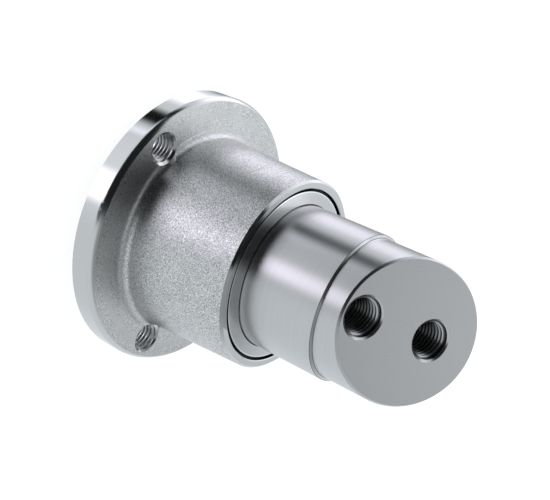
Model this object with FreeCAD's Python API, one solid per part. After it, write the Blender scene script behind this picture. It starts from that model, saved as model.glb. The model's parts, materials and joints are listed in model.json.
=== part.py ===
"""Agricultural hub bearing: a flanged hub turning on a stub axle, carried by two rows of angular contact balls.

Millimetres. The origin is the centre of the flange's back face, and +Z runs along the axle towards its slanted end.
The slanted end rises towards +Y. Each separate piece is written to parts/ under its own name.
"""

import FreeCAD, Part
import math
import os

from FreeCAD import Placement, Rotation, Vector

# Flange of the hub
FLANGE_D = 117.0
FLANGE_RIM_LENGTH = 8.1  # straight turned rim, measured from the back face
FLANGE_CORNER_R = 3.7  # turned corner between the rim and the forged front face
FLANGE_CORNER_DEG = 53.5  # how far the turned corner goes round before the forged face cuts it off
FLANGE_DRAFT_DEG = 2.0  # forging draft of the front face
FLANGE_BACK_CHAMFER = 0.5
BOLT_CIRCLE_D = 98.0
BOLT_COUNT = 3
BOLT_THREAD_D = 12.0
BOLT_CHAMFER = 0.7
BOLT_SPOT_D = 14.0  # the countersink's own diameter, which marks the fillet beside the neck
HUB_CLOCK_DEG = -4.9  # where the hub stands on the axle, by its first bolt hole

# Neck of the hub
NOSE_WALL = 3.35  # round the seal's seat, at the nose
NECK_WALL = 4.0  # the least outside the ball grooves
NECK_DRAFT_DEG = 2.66
NECK_FILLET_R = 3.6
NOSE_CHAMFER = 0.9
NOSE_BORE_CHAMFER = 0.3

# Bearing: two rows of balls between grooves in the hub and two rings on the axle
SEAT_D = 40.0
RING_FLOOR = 3.944  # ring wall under the ball groove
RING_WIDTH = 19.0
RING_CHAMFER = 1.0
BALL_D = 11.1125
BALLS_PER_ROW = 12
CONTACT_ANGLE_DEG = 40.0
GROOVE_SHARE = 0.52  # groove radius over ball diameter
BALL_CLEARANCE = 0.07
LAND_OFFSET = 2.0  # from the pitch circle to the hub's land, and to each ring's land

# Cages
CAGE_INNER_OFFSET = 1.4  # inside the pitch circle
CAGE_OUTER_OFFSET = 1.5  # outside the pitch circle
CAGE_BACK_WALL = 1.65  # closed side, beyond the balls
CAGE_FRONT = 2.5  # open side, from the row's centre
POCKET_CLEARANCE = 0.15
CAGE_RELIEF_R = 1.2

# Axle
AXLE_D = 60.0
SHANK_REACH = 33.4  # from the hub's nose to the step
STEP_LENGTH = 0.6  # the step down to the spigot is a steep cone
SPIGOT_D = 57.4
SPIGOT_LENGTH = 23.8  # from the step to the slanted face, on the axis
JOURNAL_RISE = 0.1  # the seal's journal stands proud of the shank, so the slinger slides on freely
JOURNAL_RELIEF_LENGTH = 1.2  # turned groove between the journal and the shank
JOURNAL_RELIEF_DEPTH = 0.5
JOURNAL_RELIEF_SHOW = 0.2  # how much of the groove shows beyond the slinger
SHOULDER_OFFSET = 1.5  # the shoulder stands proud of the rings' land
SHOULDER_LENGTH = 1.2
SHOULDER_CHAMFER = 0.5
SEAT_RELIEF_DEPTH = 0.3
SEAT_RELIEF_LENGTH = 1.8
THREAD_STEP = 1.0  # the nut's thread is this much inside the bearing seat
THREAD_RELIEF_STEP = 0.8
THREAD_RELIEF_LENGTH = 2.0
AXLE_END_CHAMFER = 1.0
NUT_STANDOFF = 0.8  # how far the axle stands out of its nut

# Slanted end of the axle
FACE_TILT_DEG = 27.1
FACE_CHAMFER = 0.7
FACE_HOLES = (-22.6, 10.4)  # along the slope from the axis
FACE_THREAD_D = 16.0
FACE_DRILL_D = 14.0
FACE_THREAD_DEPTH = 20.0
FACE_DRILL_DEPTH = 23.5
FACE_MOUTH_CHAMFER = 0.6
DRILL_POINT_DEG = 118.0

# Seal at the nose
SEAL_SECTION = 6.5  # from the axle's shank to the seal's seat in the hub
SEAL_SEAT_LENGTH = 10.1
SEAL_STANDOFF = 1.4  # from the bearing's end to the seal's seat
CASE_WALL = 1.0
CASE_LENGTH = 7.0
CASE_LEG = 3.7  # width of the case's inward leg
SLINGER_WALL = 1.2
SLINGER_GAP = 0.9  # the dark ring that shows between the slinger and the hub's nose
SLINGER_SUNK = 0.75  # the slinger's rim below the nose
SLINGER_RISE = 1.15  # from the slinger's rim up to its root on the axle
SLINGER_FOOT = 1.1  # the sleeve's end above the seal's seat
SLINGER_EDGE_R = 0.5
LIP_CLEARANCE = 0.06
LIP_TIP = 0.4
RUBBER_WALL = 0.8
LOWER_LIP_RISE = 2.2
UPPER_LIP_RISE = 5.4
BEAD_HEIGHT = 0.9

# Nut, washer and end cap
WASHER_WALL = 1.5
WASHER_RIM = 5.5  # from the axle's thread to the washer's rim
WASHER_TABS = 8
WASHER_TAB_WIDTH = 4.6
WASHER_TAB_REACH = 3.0
BENT_TAB_WALL = 1.3
BENT_TAB_LENGTH = 4.5
KEYWAY_WIDTH = 5.2
KEYWAY_DEPTH = 3.0
KEY_CLEARANCE = 0.2
NUT_WALL = 7.0  # from the axle's thread to the nut's rim
NUT_WIDTH = 6.0
NUT_SLOTS = 4
NUT_SLOT_WIDTH = 5.2
NUT_SLOT_DEPTH = 2.5
NUT_CHAMFER = 0.8
CAP_LEDGE = 0.84  # step from the bearing's bore out to the cap's seat
CAP_WALL = 1.2
CAP_LENGTH = 5.2
CAP_RECESS = 0.9
CAP_SEAT_SPARE = 0.1
CAP_CORNER_R = 1.6
CAP_TO_AXLE = 1.1

MARGIN = 1.0  # how far a cutter runs past what it cuts

# Radii worked out from those above
ball_r = BALL_D / 2
seat_r = SEAT_D / 2
pitch_r = seat_r + RING_FLOOR + ball_r
groove_r = GROOVE_SHARE * BALL_D
groove_shift = groove_r - ball_r - BALL_CLEARANCE
hub_land_r = pitch_r + LAND_OFFSET
ring_land_r = pitch_r - LAND_OFFSET
hub_bore_r = pitch_r - groove_shift * math.cos(math.radians(CONTACT_ANGLE_DEG)) + groove_r
cap_seat_r = hub_bore_r + CAP_LEDGE
thread_r = seat_r - THREAD_STEP
nut_r = thread_r + NUT_WALL
shank_r = AXLE_D / 2
journal_r = shank_r + JOURNAL_RISE
sleeve_r = journal_r + SLINGER_WALL
seal_seat_r = shank_r + SEAL_SECTION
case_r = seal_seat_r - CASE_WALL
case_foot_r = seal_seat_r - CASE_LEG
slinger_r = seal_seat_r - SLINGER_GAP
nose_r = max(seal_seat_r + NOSE_WALL, hub_bore_r + NECK_WALL)
flange_face_r = FLANGE_D / 2 - FLANGE_CORNER_R * (1 - math.cos(math.radians(FLANGE_CORNER_DEG)))
flange_face_z = FLANGE_RIM_LENGTH + FLANGE_CORNER_R * math.sin(math.radians(FLANGE_CORNER_DEG))

# Heights, stacked up from the flange's back face
cap_seat_z = CAP_RECESS + CAP_LENGTH + CAP_SEAT_SPARE
axle_end_z = CAP_RECESS + CAP_WALL + CAP_TO_AXLE
nut_bottom_z = axle_end_z + NUT_STANDOFF
nut_top_z = nut_bottom_z + NUT_WIDTH
ring_rear_z = nut_top_z + WASHER_WALL
bearing_middle_z = ring_rear_z + RING_WIDTH
shoulder_z = bearing_middle_z + RING_WIDTH
seal_seat_z = shoulder_z + SEAL_STANDOFF
hub_length = seal_seat_z + SEAL_SEAT_LENGTH
slinger_rim_z = hub_length - SLINGER_SUNK
slinger_root_z = slinger_rim_z + SLINGER_RISE
step_z = hub_length + SHANK_REACH
face_axis_z = step_z + SPIGOT_LENGTH
face_slope = math.tan(math.radians(FACE_TILT_DEG))
face_normal = Vector(0, -math.sin(math.radians(FACE_TILT_DEG)), math.cos(math.radians(FACE_TILT_DEG)))
long_side_z = face_axis_z + face_slope * SPIGOT_D / 2


def rounded(before, corner, after, radius):
    """Start, middle and end of the arc that rounds a profile's corner."""
    to_before = Vector(before[0] - corner[0], 0, before[1] - corner[1]).normalize()
    to_after = Vector(after[0] - corner[0], 0, after[1] - corner[1]).normalize()
    half = to_before.getAngle(to_after) / 2
    inward = (to_before + to_after).normalize()
    tip = Vector(corner[0], 0, corner[1])
    reach = radius / math.tan(half)
    middle = tip + inward * (radius / math.sin(half) - radius)
    return tip + to_before * reach, middle, tip + to_after * reach


def profile_edges(profile):
    """Lines and arcs of a closed profile.

    A point is (r, z), (r, z, corner radius), or ("via", r, z) for the middle of an arc between its neighbours.
    """
    stops = []
    count = len(profile)
    for i, point in enumerate(profile):
        if point[0] == "via":
            stops.append(("via", Vector(point[1], 0, point[2])))
        elif len(point) == 3:
            start, middle, end = rounded(profile[i - 1], point, profile[(i + 1) % count], point[2])
            stops += [("at", start), ("via", middle), ("at", end)]
        else:
            stops.append(("at", Vector(point[0], 0, point[1])))
    edges = []
    stops.append(stops[0])
    for i in range(len(stops) - 1):
        kind, here = stops[i]
        next_kind, ahead = stops[i + 1]
        if kind == "via":
            edges.append(Part.Arc(stops[i - 1][1], here, ahead).toShape())
        elif next_kind == "at" and here.distanceToPoint(ahead) > 1e-6:
            edges.append(Part.LineSegment(here, ahead).toShape())
    return edges


def revolved(profile):
    """The solid that a closed profile sweeps about Z."""
    face = Part.Face(Part.Wire(profile_edges(profile)))
    solid = face.revolve(Vector(0, 0, 0), Vector(0, 0, 1), 360)
    if solid.Volume < 0:
        solid.reverse()
    return solid


def turned_about_z(shape, degrees):
    """A copy of the shape, turned about the axle's axis."""
    turned = shape.copy()
    turned.rotate(Vector(0, 0, 0), Vector(0, 0, 1), degrees)
    return turned


def block(x, y, z):
    """A box from its (low, high) range along each axis."""
    size = [high - low for low, high in (x, y, z)]
    return Part.makeBox(*size, Vector(x[0], y[0], z[0]))


def race(side, outer, angle_deg):
    """A point (r, z) of a ball groove, at an angle from its bottom towards its shoulder."""
    sign = 1 if outer else -1
    contact = math.radians(CONTACT_ANGLE_DEG)
    angle = math.radians(angle_deg)
    centre_r = pitch_r - sign * groove_shift * math.cos(contact)
    centre_w = RING_WIDTH / 2 + sign * groove_shift * math.sin(contact)
    r = centre_r + sign * groove_r * math.cos(angle)
    w = centre_w - sign * groove_r * math.sin(angle)
    return r, bearing_middle_z + side * w


def shoulder_angle(outer, land_r):
    """The angle from a groove's bottom to the land beside it."""
    sign = 1 if outer else -1
    centre_r = pitch_r - sign * groove_shift * math.cos(math.radians(CONTACT_ANGLE_DEG))
    return math.degrees(math.acos(sign * (land_r - centre_r) / groove_r))


def row_z(side):
    """Height of a ball row's centre. The front row, side 1, is the one by the nose."""
    return bearing_middle_z + side * RING_WIDTH / 2


def through_tapped_hole(length):
    """Cutter of a flange bolt hole, pointing up from the back face, chamfered at both ends."""
    r = BOLT_THREAD_D / 2
    spot_r = BOLT_SPOT_D / 2
    return revolved(
        [
            (0, -MARGIN),
            (r + BOLT_CHAMFER, -MARGIN),
            (r + BOLT_CHAMFER, 0),
            (r, BOLT_CHAMFER),
            (r, length - BOLT_CHAMFER),
            (spot_r, length - BOLT_CHAMFER + spot_r - r),
            (spot_r, hub_length),
            (0, hub_length),
        ]
    )


def blind_tapped_hole():
    """Cutter of a hole in the slanted face, with its mouth at z = 0 and its drill point below."""
    r = FACE_THREAD_D / 2
    drill_r = FACE_DRILL_D / 2
    point = drill_r / math.tan(math.radians(DRILL_POINT_DEG / 2))
    return revolved(
        [
            (0, MARGIN),
            (r + FACE_MOUTH_CHAMFER, MARGIN),
            (r + FACE_MOUTH_CHAMFER, 0),
            (r, -FACE_MOUTH_CHAMFER),
            (r, -FACE_THREAD_DEPTH),
            (drill_r, -FACE_THREAD_DEPTH - (r - drill_r)),
            (drill_r, -FACE_DRILL_DEPTH),
            (0, -FACE_DRILL_DEPTH - point),
        ]
    )


def flange_front_z(r):
    """Height of the flange's forged front face at a radius."""
    return flange_face_z + (flange_face_r - r) * math.tan(math.radians(FLANGE_DRAFT_DEG))


def neck_r(z):
    """Radius of the hub's tapered neck at a height."""
    return nose_r + (hub_length - z) * math.tan(math.radians(NECK_DRAFT_DEG))


def hub_outside():
    """The hub's outer profile, from its back face round to the nose."""
    rim_r = FLANGE_D / 2
    half_sweep = math.radians(FLANGE_CORNER_DEG / 2)
    corner_middle = (
        rim_r - FLANGE_CORNER_R * (1 - math.cos(half_sweep)),
        FLANGE_RIM_LENGTH + FLANGE_CORNER_R * math.sin(half_sweep),
    )
    root_z = flange_front_z(neck_r(flange_face_z))
    return [
        (rim_r - FLANGE_BACK_CHAMFER, 0),
        (rim_r, FLANGE_BACK_CHAMFER),
        (rim_r, FLANGE_RIM_LENGTH),
        ("via", *corner_middle),
        (flange_face_r, flange_face_z),
        (neck_r(root_z), root_z, NECK_FILLET_R),
        (neck_r(hub_length - NOSE_CHAMFER), hub_length - NOSE_CHAMFER),
        (nose_r - NOSE_CHAMFER, hub_length),
    ]


def hub_inside():
    """The hub's bore, from the nose back to the end cap's seat."""
    shoulder = shoulder_angle(True, hub_land_r)
    return [
        (seal_seat_r + NOSE_BORE_CHAMFER, hub_length),
        (seal_seat_r, hub_length - NOSE_BORE_CHAMFER),
        (seal_seat_r, seal_seat_z),
        (hub_bore_r, seal_seat_z),
        race(1, True, 0),
        ("via", *race(1, True, shoulder / 2)),
        (hub_land_r, race(1, True, shoulder)[1]),
        (hub_land_r, race(-1, True, shoulder)[1]),
        ("via", *race(-1, True, shoulder / 2)),
        race(-1, True, 0),
        (hub_bore_r, cap_seat_z),
        (cap_seat_r, cap_seat_z),
        (cap_seat_r, FLANGE_BACK_CHAMFER),
        (cap_seat_r + FLANGE_BACK_CHAMFER, 0),
    ]


def flange_hub():
    """The forged hub: flange, tapered neck, both outer races and the seats of the seal and the end cap."""
    hub = revolved(hub_outside() + hub_inside())
    bolt_r = BOLT_CIRCLE_D / 2
    cutter = through_tapped_hole(flange_front_z(bolt_r))
    cutter.translate(Vector(bolt_r, 0, 0))
    for i in range(BOLT_COUNT):
        hub = hub.cut(turned_about_z(cutter, HUB_CLOCK_DEG + i * 360 / BOLT_COUNT))
    return hub


def axle_blank():
    """The turned axle, with its spigot still running past the slanted face."""
    relief_r = thread_r - THREAD_RELIEF_STEP
    seat_relief_r = seat_r - SEAT_RELIEF_DEPTH
    shoulder_r = ring_land_r + SHOULDER_OFFSET
    journal_relief_r = shank_r - JOURNAL_RELIEF_DEPTH
    shank_start_z = slinger_root_z + JOURNAL_RELIEF_SHOW
    journal_end_z = shank_start_z - JOURNAL_RELIEF_LENGTH
    blank_z = long_side_z + MARGIN
    return revolved(
        [
            (0, axle_end_z),
            (thread_r - AXLE_END_CHAMFER, axle_end_z),
            (thread_r, axle_end_z + AXLE_END_CHAMFER),
            (thread_r, ring_rear_z - KEY_CLEARANCE),
            (relief_r, ring_rear_z - KEY_CLEARANCE),
            (relief_r, ring_rear_z + THREAD_RELIEF_LENGTH),
            (seat_r, ring_rear_z + THREAD_RELIEF_LENGTH + seat_r - relief_r),
            (seat_r, shoulder_z - SEAT_RELIEF_LENGTH),
            (seat_relief_r, shoulder_z - SEAT_RELIEF_LENGTH + SEAT_RELIEF_DEPTH),
            (seat_relief_r, shoulder_z),
            (shoulder_r - SHOULDER_CHAMFER, shoulder_z),
            (shoulder_r, shoulder_z + SHOULDER_CHAMFER),
            (shoulder_r, shoulder_z + SHOULDER_LENGTH),
            (journal_r - SHOULDER_CHAMFER, shoulder_z + SHOULDER_LENGTH),
            (journal_r, shoulder_z + SHOULDER_LENGTH + SHOULDER_CHAMFER),
            (journal_r, journal_end_z),
            (journal_relief_r, journal_end_z + journal_r - journal_relief_r),
            (journal_relief_r, shank_start_z),
            (shank_r, shank_start_z),
            (shank_r, step_z),
            (SPIGOT_D / 2, step_z + STEP_LENGTH),
            (SPIGOT_D / 2, blank_z),
            (0, blank_z),
        ]
    )


def on_slanted_face(shape, along):
    """A copy of the shape, stood on the slanted face at a distance up its slope from the axis."""
    slope = Vector(0, face_normal.z, -face_normal.y)
    foot = Vector(0, 0, face_axis_z) + slope * along
    placed = shape.copy()
    placed.Placement = Placement(foot, Rotation(Vector(0, 0, 1), face_normal))
    return placed


def keyway():
    """The slot along the axle's thread that the washer's tang sits in."""
    return block(
        (-KEYWAY_WIDTH / 2, KEYWAY_WIDTH / 2),
        (-thread_r - MARGIN, -thread_r + KEYWAY_DEPTH),
        (axle_end_z - MARGIN, ring_rear_z + THREAD_RELIEF_LENGTH),
    )


def axle_shaft():
    """The stub axle: bearing seat, shoulder, spigot and the slanted face with its two tapped holes."""
    waste_size = max(AXLE_D, SPIGOT_D)
    waste = on_slanted_face(Part.makeCylinder(waste_size, waste_size), 0)
    axle = axle_blank().cut(waste)
    face = max(axle.Faces, key=lambda f: f.CenterOfMass.z)
    axle = axle.makeChamfer(FACE_CHAMFER, face.OuterWire.Edges)
    for along in FACE_HOLES:
        axle = axle.cut(on_slanted_face(blind_tapped_hole(), along))
    return axle.cut(keyway())


def inner_ring(side):
    """A pressed-on inner ring, with its high shoulder away from the other ring."""
    shoulder = shoulder_angle(False, ring_land_r)
    end = bearing_middle_z + side * RING_WIDTH
    step = side * RING_CHAMFER
    return revolved(
        [
            (seat_r + RING_CHAMFER, bearing_middle_z),
            (race(side, False, 0)[0], bearing_middle_z),
            race(side, False, 0),
            ("via", *race(side, False, shoulder / 2)),
            (ring_land_r, race(side, False, shoulder)[1]),
            (ring_land_r, end - step),
            (ring_land_r - RING_CHAMFER, end),
            (seat_r + RING_CHAMFER, end),
            (seat_r, end - step),
            (seat_r, bearing_middle_z + step),
        ]
    )


def ball_centres(side):
    """Centres of a row's balls. The rear row is set half a space round from the front one."""
    start = 0 if side > 0 else 180 / BALLS_PER_ROW
    centres = []
    for i in range(BALLS_PER_ROW):
        angle = math.radians(start + i * 360 / BALLS_PER_ROW)
        centres.append(Vector(pitch_r * math.cos(angle), pitch_r * math.sin(angle), row_z(side)))
    return centres


def cage(side):
    """A moulded snap cage: a ring on the outer side, with a pocket round each ball and split prongs between."""
    closed_z = row_z(side) + side * (ball_r + CAGE_BACK_WALL)
    open_z = row_z(side) - side * CAGE_FRONT
    inner_r = pitch_r - CAGE_INNER_OFFSET
    outer_r = pitch_r + CAGE_OUTER_OFFSET
    band = revolved([(inner_r, closed_z), (outer_r, closed_z), (outer_r, open_z), (inner_r, open_z)])
    relief = Part.makeCylinder(CAGE_RELIEF_R, 2 * pitch_r, Vector(0, 0, open_z), Vector(1, 0, 0))
    for centre in ball_centres(side):
        band = band.cut(Part.makeSphere(ball_r + POCKET_CLEARANCE, centre))
        angle = math.degrees(math.atan2(centre.y, centre.x)) + 180 / BALLS_PER_ROW
        band = band.cut(turned_about_z(relief, angle))
    return band


def slinger_under_z(r):
    """Height of the slinger flange's underside at a radius."""
    return slinger_rim_z - SLINGER_WALL + SLINGER_RISE * (slinger_r - r) / (slinger_r - journal_r)


def slinger():
    """The pressed steel slinger: a sleeve on the axle and a shallow flange that covers the seal."""
    foot_z = seal_seat_z + SLINGER_FOOT
    return revolved(
        [
            (journal_r, foot_z),
            (sleeve_r, foot_z),
            (sleeve_r, slinger_under_z(sleeve_r), SLINGER_WALL / 2),
            (slinger_r, slinger_rim_z - SLINGER_WALL, SLINGER_EDGE_R),
            (slinger_r, slinger_rim_z, SLINGER_EDGE_R),
            (journal_r, slinger_root_z),
        ]
    )


def seal_case():
    """The seal's pressed steel case, an L section seated in the hub's nose."""
    return revolved(
        [
            (case_foot_r, seal_seat_z),
            (seal_seat_r, seal_seat_z),
            (seal_seat_r, seal_seat_z + CASE_LENGTH),
            (case_r, seal_seat_z + CASE_LENGTH),
            (case_r, seal_seat_z + CASE_WALL),
            (case_foot_r, seal_seat_z + CASE_WALL),
        ]
    )


def seal_lips():
    """The rubber moulded into the case: two lips on the slinger's sleeve, one against its flange, and a top bead."""
    touch_r = sleeve_r + LIP_CLEARANCE
    top_z = seal_seat_z + CASE_LENGTH
    lower_z = seal_seat_z + LOWER_LIP_RISE
    upper_z = seal_seat_z + UPPER_LIP_RISE
    axial_r = case_r - RUBBER_WALL
    axial_z = slinger_under_z(axial_r) - LIP_CLEARANCE
    return revolved(
        [
            (case_foot_r, seal_seat_z),
            (case_foot_r - RUBBER_WALL, seal_seat_z),
            (touch_r, lower_z),
            (touch_r, lower_z + LIP_TIP),
            (case_foot_r, lower_z + LIP_TIP),
            (case_foot_r, lower_z + LIP_TIP + RUBBER_WALL),
            (touch_r, upper_z),
            (touch_r, upper_z + LIP_TIP),
            (case_foot_r + RUBBER_WALL, upper_z),
            (axial_r - LIP_TIP, axial_z),
            (axial_r, axial_z),
            (case_r - LIP_TIP, top_z),
            (case_r, top_z + BEAD_HEIGHT),
            (seal_seat_r, top_z + BEAD_HEIGHT),
            (seal_seat_r, top_z),
            (case_r, top_z),
            (case_r, seal_seat_z + CASE_WALL),
            (case_foot_r, seal_seat_z + CASE_WALL),
        ]
    )


def tab_washer():
    """The lock washer: a tang in the axle's keyway and a ring of tabs, one bent into a slot of the nut."""
    low, high = nut_top_z, ring_rear_z
    rim_r = thread_r + WASHER_RIM
    washer = revolved([(thread_r, low), (rim_r, low), (rim_r, high), (thread_r, high)])
    half = WASHER_TAB_WIDTH / 2
    root_r = rim_r - MARGIN
    tab = block((root_r, rim_r + WASHER_TAB_REACH), (-half, half), (low, high))
    for i in range(1, WASHER_TABS):
        washer = washer.fuse(turned_about_z(tab, 90 + i * 360 / WASHER_TABS))
    slot_r = nut_r - NUT_SLOT_DEPTH + KEY_CLEARANCE
    bent = block((-half, half), (slot_r, slot_r + BENT_TAB_WALL), (low - BENT_TAB_LENGTH, high))
    stub = block((-half, half), (root_r, slot_r + BENT_TAB_WALL), (low, high))
    tang_half = KEYWAY_WIDTH / 2 - KEY_CLEARANCE
    tang = block(
        (-tang_half, tang_half),
        (-thread_r - MARGIN, -thread_r + KEYWAY_DEPTH - KEY_CLEARANCE),
        (low, high),
    )
    return washer.multiFuse([bent, stub, tang]).removeSplitter()


def lock_nut():
    """The slotted round nut that clamps the inner rings against the axle's shoulder."""
    nut = revolved(
        [
            (thread_r, nut_bottom_z),
            (nut_r - NUT_CHAMFER, nut_bottom_z),
            (nut_r, nut_bottom_z + NUT_CHAMFER),
            (nut_r, nut_top_z),
            (thread_r, nut_top_z),
        ]
    )
    slot = block(
        (nut_r - NUT_SLOT_DEPTH, nut_r + MARGIN),
        (-NUT_SLOT_WIDTH / 2, NUT_SLOT_WIDTH / 2),
        (nut_bottom_z - MARGIN, nut_top_z + MARGIN),
    )
    for i in range(NUT_SLOTS):
        nut = nut.cut(turned_about_z(slot, 90 + i * 360 / NUT_SLOTS))
    return nut


def end_cap():
    """The pressed steel cap that closes the hub behind the flange, sunk just below the back face."""
    plate_z = CAP_RECESS + CAP_WALL
    lip_z = CAP_RECESS + CAP_LENGTH
    return revolved(
        [
            (0, CAP_RECESS),
            (cap_seat_r, CAP_RECESS, CAP_CORNER_R),
            (cap_seat_r, lip_z),
            (cap_seat_r - CAP_WALL, lip_z),
            (cap_seat_r - CAP_WALL, plate_z, CAP_CORNER_R - CAP_WALL),
            (0, plate_z),
        ]
    )


def pieces():
    """Every piece of the hub bearing under its own name."""
    found = {
        "flange_hub": flange_hub(),
        "axle_shaft": axle_shaft(),
        "slinger": slinger(),
        "seal_case": seal_case(),
        "seal_lips": seal_lips(),
        "tab_washer": tab_washer(),
        "lock_nut": lock_nut(),
        "end_cap": end_cap(),
    }
    for row, side in (("front", 1), ("rear", -1)):
        found[f"inner_ring_{row}"] = inner_ring(side)
        found[f"cage_{row}"] = cage(side)
        for i, centre in enumerate(ball_centres(side), 1):
            found[f"ball_{row}_{i:02d}"] = Part.makeSphere(ball_r, centre)
    return found


def main():
    os.makedirs("parts", exist_ok=True)
    for name, shape in pieces().items():
        print(name, len(shape.Solids), shape.isValid(), round(shape.Volume, 1))
        shape.exportStep(f"parts/{name}.step")


main()
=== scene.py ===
"""Looks of the agricultural hub bearing: steels, plastic and rubber, the cut threads, studio and camera.

Metres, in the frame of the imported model. Angles round the axle are measured from +X. The hub stands on its
flange.
"""

import json
import math
from collections import namedtuple

import bmesh
import bpy
from mathutils import Matrix, Vector


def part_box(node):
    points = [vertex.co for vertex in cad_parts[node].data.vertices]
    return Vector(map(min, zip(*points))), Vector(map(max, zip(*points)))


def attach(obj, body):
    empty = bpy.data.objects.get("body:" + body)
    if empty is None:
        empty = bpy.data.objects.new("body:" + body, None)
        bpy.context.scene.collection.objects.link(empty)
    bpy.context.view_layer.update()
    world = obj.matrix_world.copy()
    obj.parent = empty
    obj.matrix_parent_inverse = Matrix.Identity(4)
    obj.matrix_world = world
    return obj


MM = 0.001

# Camera, fitted to the photograph
CAMERA_PLACE = (-0.03201, -0.345332, 0.261842)
CAMERA_RIGHT = (-0.38221349, 0.50178511, 0.77596685)
CAMERA_UP = (-0.92205561, -0.15162259, -0.35612363)
CAMERA_LENS = 66.185
CAMERA_SENSOR = 36.0
CAMERA_CLIP = 0.01

# Threads, which the model leaves at their major radius
FACE_THREAD_PITCH = 2.0 * MM
FLANGE_THREAD_PITCH = 1.75 * MM
FACE_MOUTH_RISE = 0.6 * MM  # how much wider the countersink is at the face
FLANGE_MOUTH_RISE = 0.7 * MM
THREAD_DEPTH_SHARE = 0.5413  # ridge height over pitch, for a metric thread
THREAD_STEPS = 60  # points in each turn
RUN_OUT_STEPS = 12  # points over which a ridge grows to its full height
THREAD_SUNK = 0.03 * MM  # the ridge's foot lies this far inside the wall
SHARP_ANGLE = math.radians(32)

# Where finishes change on the hub
EDGE_BLEND = 0.06 * MM  # half the width over which one finish goes over into the next
FLANGE_FRONT_Z = 11.35 * MM  # the forged face at the bolt circle
RIM_R = 57.0 * MM
CORNER_START_Z = (8.1 * MM, 8.6 * MM)
CORNER_END_Z = (13.1 * MM, 12.1 * MM)
NOSE_Z = 60.1 * MM
BORE_R = 37.5 * MM
BACK_Z = 0.2 * MM
SEAL_SEAT_Z = (50.9 * MM, 60.7 * MM)
HOLE_BRIGHT_R = 6.9 * MM

# Where finishes change on the axle
SHANK_R = 30 * MM
STEP_Z = (94.4 * MM, 95.0 * MM)
STEP_LINE = (0.04 * MM, 0.12 * MM)  # from a step's edge: its painted shade line fades from here to there
FACE_EDGE = (-0.06 * MM, -0.02 * MM)  # against the slanted face: from turned to milled

# Values of noise between which a finish goes from its first look to its last
NARROW_NOISE = (0.3, 0.7)
MIDDLE_NOISE = (0.25, 0.75)
WIDE_NOISE = (0.2, 0.8)

# Fine lathe lines. The seeds keep those of the hub, the axle and the rings apart.
HUB_LINE_SEED = 3.1
AXLE_LINE_SEED = 1.7
RING_LINE_SEED = 5.3
LINE_STRENGTH = 0.6
BROAD_LINES = 0.12  # broad lines for each fine one
BROAD_SHARE = 0.35

# Painted shade on the wall of the seal's gap, on the slinger's lip and in the crease beside the axle
PAINTED_SHADE_TONE = 0.03

# Blasted and turned steel of the hub
GRIT_SIZE = 0.24 * MM
PIT_SIZE = 1.1 * MM
STAIN_SIZE = 9 * MM
PIT_SHARE = 0.25
STAIN_SHARE = 0.08
BLAST_DEPTH = 0.07 * MM
GRIT_NOISE = (0.36, 0.64)
GRIT_TONES = (0.27, 0.97)
FLANGE_TONE = 0.59
FLANGE_GRAIN = 0.65  # share of the neck's grain that the flange's front has
FLANGE_BLEND = 3 * MM
HUB_BLUE = 0.985
HUB_LINE_PITCH = 0.18 * MM
HUB_LINE_DEPTH = 0.004 * MM
HUB_TURNED_TONE = 0.66
BLASTED_ROUGHNESS = 0.30
HUB_TURNED_ROUGHNESS = 0.09
CORNER_ROUGHNESS = 0.17

# Turned and milled steel of the axle
AXLE_LINE_PITCH = 0.16 * MM
AXLE_LINE_DEPTH = 0.006 * MM
AXLE_TONES = (0.60, 0.68)
AXLE_BLUE = 0.99
AXLE_ROUGHNESS = 0.30
AXLE_ANISOTROPY = 0.5
STEP_ROUGHNESS = 0.12
# share of light left in the painted shade line at each edge of the step
STEP_LINE_LIGHT = 0.3
CUTTER_R = 34 * MM
CUTTER_FEED = 0.8 * MM
CUTTER_WANDER = 0.5 * MM
WANDER_SIZE = 3 * MM
MILLED_PATCH = 5 * MM
MILLED_PATCH_NOISE = (0.42, 0.62)
MILLED_DEPTH = 0.006 * MM
MILLED_STRENGTH = 0.4
MILLED_HEIGHTS = (-0.8, 0.8)
MILLED_TONES = (0.48, 0.545)
MILLED_ROUGHNESS = 0.42

# Light left inside the slanted face's holes: from where, to where, and the share at each
ROOT_LIGHT = (-1.0 * MM, -0.3 * MM, 1.25, 0.12)  # distance from the wall, inward negative
DEPTH_LIGHT = (-9 * MM, -1 * MM, 0.22, 1.0)  # height against the face
HOLE_SHADE_WALL = (0.1 * MM, 0.04 * MM)
HOLE_SHADE_START = (-0.9 * MM, -1.6 * MM)

# The slinger: where each part starts and is complete, from its outer edge or from the shank
# The lip and the crease take painted shade, and the ring just inside the lip takes a painted highlight
LIP_EDGE = (-0.46 * MM, -0.38 * MM)
HIGHLIGHT_RING_EDGE = (-0.95 * MM, -0.80 * MM)
CREASE_EDGE = (0.45 * MM, 0.35 * MM)
# tone of the painted highlight ring
HIGHLIGHT_RING_TONE = 0.95
SLINGER_TONES = (0.58, 0.66)
SLINGER_ROUGHNESS = (0.18, 0.26)
SLINGER_LINE_PITCH = 0.25 * MM
SLINGER_LINE_DEPTH = 0.004 * MM
SLINGER_PATCH = 5 * MM

# Plain steels: tone, roughness, pitch and depth of the lathe or press lines
PLAIN_STEELS = {
    "thread_steel": (0.55, 0.28, 0.2 * MM, 0.004 * MM),
    "pressed_steel": (0.55, 0.28, 0.5 * MM, 0.006 * MM),
    "nut_steel": (0.42, 0.36, 0.3 * MM, 0.008 * MM),
    "bearing_steel": (0.66, 0.14, 0.15 * MM, 0.003 * MM),
    "ball_steel": (0.72, 0.07, 2 * MM, 0.0),
}
STEEL_TONE_SPREAD = 0.05
STEEL_ROUGHNESS_SPREAD = 0.04
STEEL_PATCH = 6 * MM
STEEL_PATCH_SHARE = 0.5

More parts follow.
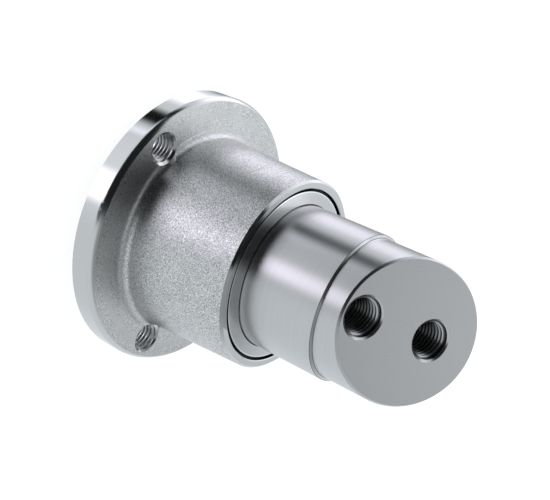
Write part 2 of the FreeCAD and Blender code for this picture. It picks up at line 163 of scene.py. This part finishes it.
# Moulded materials: darkest and lightest colour, roughness, size and depth of the grain
MOULDED = {
    "cage_plastic": ((0.03, 0.032, 0.035, 1), (0.05, 0.052, 0.055, 1), 0.45, 0.2 * MM, 0.01 * MM),
    "seal_rubber": ((0.012, 0.012, 0.012, 1), (0.02, 0.02, 0.02, 1), 0.6, 0.15 * MM, 0.01 * MM),
}
MOULDED_ROUGHNESS_SPREAD = 0.06
MOULDED_PATCH = 5 * MM

# Floor
WHITE = (1.0, 1.0, 1.0, 1.0)
FLOOR_HALF = 6.0
FLOOR_FADE = (0.14, 0.45, 0.9, 1.0)  # from here to there, the white that shows goes from this to that
FLOOR_SEEN = (0.30, 0.30, 0.30, 1.0)  # added to that white, where light falls
FLOOR_LIT = (0.8, 0.8, 0.8, 1.0)

# Studio. A soft box has its azimuth, half width, elevation, half height and softness in degrees, and then its
# brightness.
STUDIO_LEVEL = 0.85
STUDIO_TINT = (0.945, 1.0, 1.055)
BOX_TINT = (1.05, 0.965, 1.15)
SOFT_BOXES = (
    (146, 15, -30, 40, 16, 0.78),
    (138, 24, 14, 22, 24, 0.38),
    (262, 12, -46, 23, 14, 1.2),
    (250, 30, -46, 22, 40, 0.12),
    (207, 3, -35, 22, 6, 0.4),
)
# Dark flags, the same way; the last value is the share of light that is left
FLAGS = (
    (240, 46, 17, 39, 16, 0.02),
    (205, 86, 66, 17, 14, 0.04),
    (345, 92, 50, 22, 34, 0.46),
    (188, 9, -28, 40, 10, 0.01),
    (130, 40, -25, 5, 8, 0.7),
    (109, 8, -34, 20, 12, 0.45),
    (330, 45, 0, 60, 40, 0.93),
)
# A wide soft lamp
LAMP_PLACE = (-0.1, 0.45, 0.9)
LAMP_TARGET = (0, 0, 0.06)
LAMP_SIZE = 0.9
LAMP_POWER = 0.8

# Inputs of a Mix node's two values and its output, for each type of data
MIX_SOCKETS = {"FLOAT": (2, 3, 0), "VECTOR": (4, 5, 1), "RGBA": (6, 7, 2)}

FACE_HOLES = ("axle_bolt_low", "axle_bolt_high")

# A bore for a thread. Its axis points out of its mouth.
Bore = namedtuple("Bore", "mouth axis wall_r depth pitch mouth_rise open_end")

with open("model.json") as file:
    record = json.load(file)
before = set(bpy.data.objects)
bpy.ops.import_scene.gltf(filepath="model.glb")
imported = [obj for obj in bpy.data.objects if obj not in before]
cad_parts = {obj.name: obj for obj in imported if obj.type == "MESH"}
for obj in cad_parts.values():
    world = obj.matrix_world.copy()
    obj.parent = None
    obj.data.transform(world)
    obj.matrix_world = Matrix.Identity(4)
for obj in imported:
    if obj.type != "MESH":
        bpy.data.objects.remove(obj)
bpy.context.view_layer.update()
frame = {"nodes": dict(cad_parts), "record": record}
record = frame["record"]
nodes = frame["nodes"]
mounts = {mount["name"]: mount for mount in record["mounts"]}


class Graph:
    """A node tree that grows by short calls."""

    def __init__(self, tree):
        self.tree = tree
        tree.nodes.clear()

    def feed(self, socket, value):
        """Link an output to a socket, or set a plain value on it."""
        if isinstance(value, bpy.types.NodeSocket):
            self.tree.links.new(value, socket)
        else:
            socket.default_value = value

    def node(self, kind, settings=None, **inputs):
        """Node whose inputs are given by name."""
        made = self.tree.nodes.new("ShaderNode" + kind)
        for name, value in (settings or {}).items():
            setattr(made, name, value)
        for name, value in inputs.items():
            self.feed(made.inputs[name.replace("_", " ")], value)
        return made

    def ordered(self, kind, settings, *values):
        """Node whose inputs are given in their own order."""
        made = self.node(kind, settings)
        for socket, value in zip(made.inputs, values):
            self.feed(socket, value)
        return made

    def math(self, operation, *values):
        """Result of one operation."""
        return self.ordered("Math", {"operation": operation}, *values).outputs[0]

    def chain(self, operation, first, *others):
        """One operation taken along a row of values."""
        for value in others:
            first = self.math(operation, first, value)
        return first

    def vector_math(self, operation, *values):
        """Result of one operation on vectors, as a vector or a number."""
        made = self.ordered("VectorMath", {"operation": operation}, *values)
        return made.outputs["Value" if operation in ("LENGTH", "DOT_PRODUCT") else "Vector"]

    def ramp(self, value, low, high, start=0.0, end=1.0):
        """Smooth change from start to end as value goes from low to high."""
        made = self.node("MapRange", {"interpolation_type": "SMOOTHSTEP"}, Value=value, From_Min=low,
                         From_Max=high, To_Min=start, To_Max=end)
        return made.outputs["Result"]

    def above(self, value, edge):
        """1 over an edge, 0 under it."""
        return self.ramp(value, edge - EDGE_BLEND, edge + EDGE_BLEND)

    def below(self, value, edge):
        """1 under an edge, 0 over it."""
        return self.ramp(value, edge + EDGE_BLEND, edge - EDGE_BLEND)

    def mix(self, share, first, second, data_type="FLOAT"):
        """What goes from first to second as share goes from 0 to 1."""
        made = self.node("Mix", {"data_type": data_type})
        first_input, second_input, result = MIX_SOCKETS[data_type]
        for index, value in ((0, share), (first_input, first), (second_input, second)):
            self.feed(made.inputs[index], value)
        return made.outputs[result]

    def noise(self, place, size, detail=2.0, roughness=0.5):
        """Noise whose coarsest grains have the given size."""
        made = self.node("TexNoise", Vector=place, Scale=1 / size, Detail=detail, Roughness=roughness)
        return made.outputs["Fac"]

    def bump(self, height, depth, strength=1.0):
        """Normal of a surface that rises by depth where height is 1."""
        return self.node("Bump", Strength=strength, Distance=depth, Height=height).outputs[0]

    def place(self):
        """Place on the piece."""
        return self.node("TexCoord").outputs["Object"]

    def parts(self, vector):
        """X, Y and Z of a vector."""
        return self.node("SeparateXYZ", Vector=vector).outputs

    def vector(self, x, y):
        """Vector with no height."""
        return self.node("CombineXYZ", X=x, Y=y).outputs[0]

    def grey(self, tone, blue=1.0):
        """Colour of the given tone, with its blue scaled."""
        scaled = self.math("MULTIPLY", tone, blue)
        return self.node("CombineColor", Red=tone, Green=tone, Blue=scaled).outputs[0]

    def surface(self, **inputs):
        """Principled surface with the given inputs, as the material's result."""
        shader = self.node("BsdfPrincipled", **inputs)
        self.node("OutputMaterial", Surface=shader.outputs[0])


def around(middle, spread):
    """Values a spread under and over a middle."""
    return middle - spread, middle + spread


def new_material(name):
    """Empty material and its graph."""
    material = bpy.data.materials.new(name)
    material.use_nodes = True
    return material, Graph(material.node_tree)


def add_object(name, data):
    """Object with the given data, linked into the scene."""
    piece = bpy.data.objects.new(name, data)
    bpy.context.scene.collection.objects.link(piece)
    return piece


def hub_clock():
    """Angle of the first bolt hole."""
    low, high = record["physics"]["openings"][0]["box_m"]
    return math.atan2(low[1] + high[1], low[0] + high[0])


def from_axle(graph, place):
    """Distance from the axle's centre line."""
    return graph.vector_math("LENGTH", graph.vector_math("MULTIPLY", place, (1, 1, 0)))


def turned_lines(graph, along, pitch, seed):
    """Height of fine lathe lines that run square to a direction, from 0 to 1."""
    place = graph.vector(along, seed)
    fine = graph.noise(place, pitch, roughness=0.6)
    broad = graph.noise(place, pitch / BROAD_LINES)
    return graph.mix(BROAD_SHARE, fine, broad)


def bolt_hole_distance(graph, radius, angle):
    """Distance from the nearest of the flange's bolt holes."""
    dims = mounts["flange_bolts"]["dims"]
    half_share = math.pi / dims["count"]
    turn = graph.math("WRAP", graph.math("SUBTRACT", angle, hub_clock()), half_share, -half_share)
    across = graph.math("MULTIPLY", radius, graph.math("SINE", turn))
    out = graph.math("SUBTRACT", graph.math("MULTIPLY", radius, graph.math("COSINE", turn)),
                     dims["pcd_mm"] * MM / 2)
    return graph.math("SQRT", graph.math("ADD", graph.math("MULTIPLY", across, across),
                                         graph.math("MULTIPLY", out, out)))


def forged_steel():
    """Shot-blasted forging, with a turned rim, nose, back, bore and bolt holes."""
    material, g = new_material("forged_steel")
    place = g.place()
    x, y, height = g.parts(place)
    radius = from_axle(g, place)
    hole = bolt_hole_distance(g, radius, g.math("ARCTAN2", y, x))
    in_bore = g.below(radius, BORE_R)
    turned = g.chain("MAXIMUM", g.above(radius, RIM_R), in_bore, g.above(height, NOSE_Z),
                     g.below(height, BACK_Z), g.below(hole, HOLE_BRIGHT_R))

    grit = g.noise(place, GRIT_SIZE, detail=0.0)
    blasted = g.mix(PIT_SHARE, grit, g.noise(place, PIT_SIZE))
    lines = turned_lines(g, g.math("ADD", radius, height), HUB_LINE_PITCH, HUB_LINE_SEED)
    normal = g.mix(turned, g.bump(blasted, BLAST_DEPTH), g.bump(lines, HUB_LINE_DEPTH, LINE_STRENGTH),
                   "VECTOR")

    # Painted shade: the bore's wall in the seal's gap is painted near black
    seat_low, seat_high = SEAL_SEAT_Z
    in_gap = g.chain("MULTIPLY", in_bore, g.below(height, seat_high),
                     g.ramp(height, seat_low, seat_low + EDGE_BLEND))
    grain = g.ramp(g.mix(STAIN_SHARE, grit, g.noise(place, STAIN_SIZE)), *GRIT_NOISE, *GRIT_TONES)
    grain_left = g.ramp(height, FLANGE_FRONT_Z, FLANGE_FRONT_Z + FLANGE_BLEND, FLANGE_GRAIN, 1.0)
    tone = g.mix(turned, g.mix(grain_left, FLANGE_TONE, grain), g.mix(in_gap, HUB_TURNED_TONE, PAINTED_SHADE_TONE))

    on_corner = g.math("MULTIPLY", g.ramp(height, *CORNER_START_Z), g.ramp(height, *CORNER_END_Z))
    turned_roughness = g.mix(on_corner, HUB_TURNED_ROUGHNESS, CORNER_ROUGHNESS)
    g.surface(Base_Color=g.grey(tone, HUB_BLUE), Metallic=1.0, Normal=normal,
              Roughness=g.mix(turned, BLASTED_ROUGHNESS, turned_roughness))
    return material


def face_slope():
    """Direction that runs up the slanted face."""
    _, y, z = mounts["axle_end_face"]["axis"]
    return Vector((0, z, -y))


def face_coordinates(graph, place):
    """Place across the slanted face, up its slope and out of it."""
    face = mounts["axle_end_face"]
    from_middle = graph.vector_math("SUBTRACT", place, tuple(face["pos_m"]))
    up_slope = graph.vector_math("DOT_PRODUCT", from_middle, tuple(face_slope()))
    rise = graph.vector_math("DOT_PRODUCT", from_middle, tuple(face["axis"]))
    return graph.parts(place)[0], up_slope, rise


def hole_shade(graph, across, up_slope, rise):
    """Share of light left in the slanted face's holes: crests stay bright, roots and depths are dark."""
    face_middle = Vector(mounts["axle_end_face"]["pos_m"])
    distances = []
    for name in FACE_HOLES:
        hole_middle = (Vector(mounts[name]["pos_m"]) - face_middle).dot(face_slope())
        offset = graph.vector(across, graph.math("SUBTRACT", up_slope, hole_middle))
        distances.append(graph.vector_math("LENGTH", offset))
    dims = mounts[FACE_HOLES[0]]["dims"]
    from_wall = graph.math("SUBTRACT", graph.math("MINIMUM", *distances), dims["r_mm"] * MM)
    bottom = -dims["length_mm"] * MM - FACE_MOUTH_RISE
    inside = graph.chain("MULTIPLY", graph.ramp(from_wall, *HOLE_SHADE_WALL),
                         graph.ramp(rise, *HOLE_SHADE_START), graph.ramp(rise, bottom, bottom + EDGE_BLEND))
    light = graph.math("MULTIPLY", graph.ramp(from_wall, *ROOT_LIGHT), graph.ramp(rise, *DEPTH_LIGHT))
    return graph.mix(inside, 1.0, light)


def milled_arcs(graph, place, across, up_slope):
    """Height of the arcs that a wide cutter leaves on the slanted face, from -1 to 1, worn in patches."""
    square = graph.math("MULTIPLY", up_slope, up_slope)
    bend = graph.math("SQRT", graph.math("SUBTRACT", CUTTER_R ** 2, square))
    wander = graph.math("MULTIPLY", graph.noise(place, WANDER_SIZE), CUTTER_WANDER)
    feed = graph.math("DIVIDE", graph.chain("ADD", across, bend, wander), CUTTER_FEED)
    ridge = graph.math("SINE", graph.math("MULTIPLY", feed, 2 * math.pi))
    patches = graph.noise(place, MILLED_PATCH, detail=3.0, roughness=0.6)
    return graph.math("MULTIPLY", ridge, graph.ramp(patches, *MILLED_PATCH_NOISE))


def turned_steel():
    """The axle: satin turned round its length, milled across its slanted face."""
    material, g = new_material("turned_steel")
    place = g.place()
    height = g.parts(place)[2]
    across, up_slope, rise = face_coordinates(g, place)
    on_face = g.ramp(rise, *FACE_EDGE)

    lines = turned_lines(g, height, AXLE_LINE_PITCH, AXLE_LINE_SEED)
    milled = milled_arcs(g, place, across, up_slope)
    normal = g.mix(on_face, g.bump(lines, AXLE_LINE_DEPTH, LINE_STRENGTH),
                   g.bump(milled, MILLED_DEPTH, MILLED_STRENGTH), "VECTOR")
    tangent = g.mix(on_face, (0, 0, 1), (1, 0, 0), "VECTOR")

    step_low, step_high = STEP_Z
    on_step = g.math("MULTIPLY", g.ramp(height, step_low - EDGE_BLEND, step_low),
                     g.ramp(height, step_high + EDGE_BLEND, step_high))
    from_middle = g.math("ABSOLUTE", g.math("SUBTRACT", height, (step_low + step_high) / 2))
    from_edge = g.math("ABSOLUTE", g.math("SUBTRACT", from_middle, (step_high - step_low) / 2))
    step_light = g.ramp(from_edge, *STEP_LINE, STEP_LINE_LIGHT, 1.0)
    steel = g.mix(on_face, g.ramp(lines, *NARROW_NOISE, *AXLE_TONES),
                  g.ramp(milled, *MILLED_HEIGHTS, *MILLED_TONES))
    tone = g.chain("MULTIPLY", steel, step_light, hole_shade(g, across, up_slope, rise))

    roughness = g.mix(on_step, g.mix(on_face, AXLE_ROUGHNESS, MILLED_ROUGHNESS), STEP_ROUGHNESS)
    g.surface(Base_Color=g.grey(tone, AXLE_BLUE), Metallic=1.0, Roughness=roughness,
              Anisotropic=AXLE_ANISOTROPY, Tangent=tangent, Normal=normal)
    return material


def slinger_steel():
    """Pressed ring: bright, with a painted highlight ring beside its outer lip, painted shade on that lip and
    in the crease beside the axle.
    """
    material, g = new_material("slinger_steel")
    place = g.place()
    radius = from_axle(g, place)
    _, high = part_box("slinger")
    from_outer = g.math("SUBTRACT", radius, high.x)
    lines = turned_lines(g, radius, SLINGER_LINE_PITCH, RING_LINE_SEED)
    steel = g.ramp(lines, *NARROW_NOISE, *SLINGER_TONES)
    # Painted highlight: a bright ring just inside the dark lip, standing in for the reflection on the rounded
    # edge
    bright = g.mix(g.ramp(from_outer, *HIGHLIGHT_RING_EDGE), steel, HIGHLIGHT_RING_TONE)
    # Painted shade: the slinger's lip in the gap and the crease beside the axle are painted near black
    crease = g.ramp(g.math("SUBTRACT", radius, SHANK_R), *CREASE_EDGE)
    dark = g.math("MAXIMUM", g.ramp(from_outer, *LIP_EDGE), crease)
    patches = g.noise(place, SLINGER_PATCH, detail=3.0, roughness=0.6)
    g.surface(Base_Color=g.grey(g.mix(dark, bright, PAINTED_SHADE_TONE)), Metallic=1.0,
              Roughness=g.ramp(patches, *WIDE_NOISE, *SLINGER_ROUGHNESS),
              Normal=g.bump(lines, SLINGER_LINE_DEPTH, LINE_STRENGTH))
    return material


def plain_steel(name, tone, roughness, pitch, depth):
    """A bright steel with fine lathe or press lines round the axle."""
    material, g = new_material(name)
    place = g.place()
    along = g.math("ADD", from_axle(g, place), g.parts(place)[2])
    lines = turned_lines(g, along, pitch, RING_LINE_SEED)
    patches = g.noise(place, STEEL_PATCH, detail=3.0, roughness=0.6)
    uneven = g.mix(STEEL_PATCH_SHARE, lines, patches)
    varied = g.ramp(uneven, *MIDDLE_NOISE, *around(tone, STEEL_TONE_SPREAD))
    g.surface(Base_Color=g.grey(varied), Metallic=1.0,
              Roughness=g.ramp(patches, *WIDE_NOISE, *around(roughness, STEEL_ROUGHNESS_SPREAD)),
              Normal=g.bump(lines, depth, LINE_STRENGTH))
    return material


def moulded(name, darkest, lightest, roughness, grain, depth):
    """Moulded plastic or rubber with a fine grain."""
    material, g = new_material(name)
    place = g.place()
    fine = g.noise(place, grain, detail=3.0, roughness=0.6)
    patches = g.ramp(g.noise(place, MOULDED_PATCH), *NARROW_NOISE)
    g.surface(Base_Color=g.mix(patches, darkest, lightest, "RGBA"),
              Roughness=g.ramp(fine, *NARROW_NOISE, *around(roughness, MOULDED_ROUGHNESS_SPREAD)),
              Normal=g.bump(fine, depth, LINE_STRENGTH))
    return material


def ridge_section(pitch, wall_r):
    """Points (radius, height) of a ridge's section, foot to foot, with the crest's flat between two flanks.

    As in any metric thread, the crest is a quarter of the pitch wide, and an eighth is left between ridges.
    """
    crest_r = wall_r - THREAD_DEPTH_SHARE * pitch
    half_foot = pitch * 7 / 16
    half_crest = pitch / 8
    soft = pitch / 40
    return [
        (wall_r + THREAD_SUNK, -half_foot - THREAD_SUNK),
        (wall_r, -half_foot),
        (crest_r + soft, -half_crest - soft / 2),
        (crest_r, -half_crest + soft / 2),
        (crest_r, half_crest - soft / 2),
        (crest_r + soft, half_crest + soft / 2),
        (wall_r, half_foot),
        (wall_r + THREAD_SUNK, half_foot + THREAD_SUNK),
    ]


def ridge_points(bore):
    """Points of a right-hand ridge that winds down a bore, ring by ring, and the number of points in a ring.

    The ridge fades into the countersink at the mouth, and into the wall at its inner end, or into the
    countersink on the far side of an open bore.
    """
    side = bore.axis.orthogonal().normalized()
    other = bore.axis.cross(side)
    section = ridge_section(bore.pitch, bore.wall_r)
    first = -section[0][1] + THREAD_SUNK
    last = bore.depth - first if bore.open_end else bore.depth
    rings = int((last - first) / bore.pitch * THREAD_STEPS)
    foot_r = bore.wall_r + THREAD_SUNK
    points = []
    for ring in range(rings + 1):
        turn = 2 * math.pi * ring / THREAD_STEPS
        middle = first + bore.pitch * ring / THREAD_STEPS
        share = min(1.0, ring / RUN_OUT_STEPS, (rings - ring) / RUN_OUT_STEPS)
        direction = side * math.cos(turn) - other * math.sin(turn)
        for radius, offset in section:
            down = middle + offset
            ridge = foot_r - (foot_r - radius) * share
            cone = foot_r + bore.mouth_rise - down
            far_cone = foot_r + bore.mouth_rise - (bore.depth - down) if bore.open_end else 0
            points.append(bore.mouth - bore.axis * down + direction * max(ridge, cone, far_cone))
    return points, len(section)


def tube_faces(count, width):
    """Faces of a closed tube through a row of points, each ring of which has the given width."""
    last = count - width
    faces = []
    for start in range(0, last, width):
        for k in range(width):
            a = start + k
            b = start + (k + 1) % width
            faces.append((a, b, b + width, a + width))
    faces.append(tuple(reversed(range(width))))
    faces.append(tuple(range(last, count)))
    return faces


def turn_faces_outward(mesh):
    """Turn every face of a closed mesh outward."""
    work = bmesh.new()
    work.from_mesh(mesh)
    bmesh.ops.recalc_face_normals(work, faces=work.faces)
    work.to_mesh(mesh)
    work.free()


def thread(name, bore, material, body):
    """Internal thread of a bore, as a closed ridge on its wall."""
    points, width = ridge_points(bore)
    mesh = bpy.data.meshes.new(name)
    mesh.from_pydata(points, [], tube_faces(len(points), width))
    mesh.validate()
    mesh.materials.append(material)
    for polygon in mesh.polygons:
        polygon.use_smooth = True
    turn_faces_outward(mesh)
    mesh.set_sharp_from_angle(angle=SHARP_ANGLE)
    piece = add_object(name, mesh)
    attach(piece, body)


def threads(materials):
    """Threads of the two holes in the slanted face and of those in the flange."""
    face_middle = Vector(mounts["axle_end_face"]["pos_m"])
    for name in FACE_HOLES:
        hole = mounts[name]
        axis = Vector(hole["axis"]).normalized()
        foot = Vector(hole["pos_m"])
        mouth = foot + axis * (face_middle - foot).dot(axis)
        depth = hole["dims"]["length_mm"] * MM + FACE_MOUTH_RISE
        bore = Bore(mouth, axis, hole["dims"]["r_mm"] * MM, depth, FACE_THREAD_PITCH, FACE_MOUTH_RISE, False)
        thread(name.replace("bolt", "thread"), bore, materials["turned_steel"], "axle")

    dims = mounts["flange_bolts"]["dims"]
    ring_r = dims["pcd_mm"] * MM / 2
    for i in range(dims["count"]):
        angle = hub_clock() + i * 2 * math.pi / dims["count"]
        mouth = Vector((ring_r * math.cos(angle), ring_r * math.sin(angle), FLANGE_FRONT_Z))
        bore = Bore(mouth, Vector((0, 0, 1)), dims["hole_r_mm"] * MM, FLANGE_FRONT_Z, FLANGE_THREAD_PITCH,
                    FLANGE_MOUTH_RISE, True)
        thread(f"flange_thread_{i + 1}", bore, materials["thread_steel"], "hub")


def dress(materials):
    """Give each CAD node the finish of its material slot."""
    for node in nodes.values():
        for slot in node.material_slots:
            slot.material = materials[slot.material.name.split(".")[0]]


def floor():
    """Wide pale floor. The camera sees it white, with the object's shadow."""
    material, g = new_material("floor")
    whiteness = g.ramp(g.vector_math("LENGTH", g.place()), *FLOOR_FADE)
    glow = g.node("Emission", Color=WHITE, Strength=whiteness)
    paint = g.node("BsdfDiffuse", Color=FLOOR_SEEN)
    seen_floor = g.ordered("AddShader", {}, glow.outputs[0], paint.outputs[0])
    lit_floor = g.node("BsdfDiffuse", Color=FLOOR_LIT)
    path = g.node("LightPath").outputs
    seen = g.chain("MAXIMUM", path["Is Camera Ray"], path["Is Glossy Ray"], path["Is Transmission Ray"])
    both = g.ordered("MixShader", {}, seen, lit_floor.outputs[0], seen_floor.outputs[0])
    g.node("OutputMaterial", Surface=both.outputs[0])

    half = FLOOR_HALF
    corners = [(-half, -half, 0), (half, -half, 0), (half, half, 0), (-half, half, 0)]
    mesh = bpy.data.meshes.new("floor")
    mesh.from_pydata(corners, [], [(0, 1, 2, 3)])
    mesh.materials.append(material)
    piece = add_object("floor", mesh)
    piece.visible_glossy = False


def window_mask(graph, azimuth, elevation, middle, half, height, half_height, soft):
    """1 inside a soft-edged window of directions, 0 outside."""
    turn = graph.math("WRAP", graph.math("SUBTRACT", azimuth, math.radians(middle)), math.pi, -math.pi)
    rise = graph.math("SUBTRACT", elevation, math.radians(height))
    shares = []
    for offset, reach in ((turn, half), (rise, half_height)):
        inner = math.radians(reach - soft / 2)
        outer = math.radians(reach + soft / 2)
        shares.append(graph.ramp(graph.math("ABSOLUTE", offset), inner, outer, 1.0, 0.0))
    return graph.math("MULTIPLY", *shares)


def studio():
    """World: white to the camera; soft boxes and dark flags for everything else."""
    world = bpy.data.worlds.new("studio")
    world.use_nodes = True
    bpy.context.scene.world = world
    g = Graph(world.node_tree)
    x, y, z = g.parts(g.node("TexCoord").outputs["Generated"])
    azimuth = g.math("ARCTAN2", y, x)
    elevation = g.math("ARCSINE", z)
    boxes = g.chain("ADD", *(g.math("MULTIPLY", window_mask(g, azimuth, elevation, *window), gain)
                             for *window, gain in SOFT_BOXES))
    open_share = g.chain("MULTIPLY", *(g.mix(window_mask(g, azimuth, elevation, *window), 1.0, left)
                                       for *window, left in FLAGS))
    red, green, blue = (g.math("MULTIPLY_ADD", boxes, box, STUDIO_LEVEL * base)
                        for base, box in zip(STUDIO_TINT, BOX_TINT))
    light = g.node("CombineColor", Red=red, Green=green, Blue=blue).outputs[0]
    path = g.node("LightPath").outputs
    seen = g.math("MAXIMUM", path["Is Camera Ray"], path["Is Transmission Ray"])
    shade = g.node("Background", Color=g.mix(seen, light, WHITE, "RGBA"),
                   Strength=g.mix(seen, open_share, 1.0))
    g.node("OutputWorld", Surface=shade.outputs[0])


def lamp():
    """One wide soft lamp, which gives the object its shadow on the floor."""
    data = bpy.data.lights.new("key", "AREA")
    data.shape = "DISK"
    data.size = LAMP_SIZE
    data.energy = LAMP_POWER
    piece = add_object("key", data)
    piece.location = LAMP_PLACE
    aim = Vector(LAMP_TARGET) - Vector(LAMP_PLACE)
    piece.rotation_euler = aim.to_track_quat("-Z", "Y").to_euler()


def camera():
    """Camera at the photograph's viewing angle."""
    data = bpy.data.cameras.new("camera")
    data.lens = CAMERA_LENS
    data.sensor_width = CAMERA_SENSOR
    data.sensor_fit = "HORIZONTAL"
    data.clip_start = CAMERA_CLIP
    piece = add_object("camera", data)
    right = Vector(CAMERA_RIGHT)
    up = Vector(CAMERA_UP)
    turn = Matrix((right, up, right.cross(up))).transposed().to_4x4()
    piece.matrix_world = Matrix.Translation(CAMERA_PLACE) @ turn
    bpy.context.scene.camera = piece


def main():
    """Dress the model and set up floor, light and camera."""
    materials = {
        "forged_steel": forged_steel(),
        "turned_steel": turned_steel(),
        "slinger_steel": slinger_steel(),
    }
    for name, values in PLAIN_STEELS.items():
        materials[name] = plain_steel(name, *values)
    for name, values in MOULDED.items():
        materials[name] = moulded(name, *values)
    dress(materials)
    threads(materials)
    floor()
    studio()
    lamp()
    camera()
    bpy.context.scene.view_settings.view_transform = "Standard"


main()
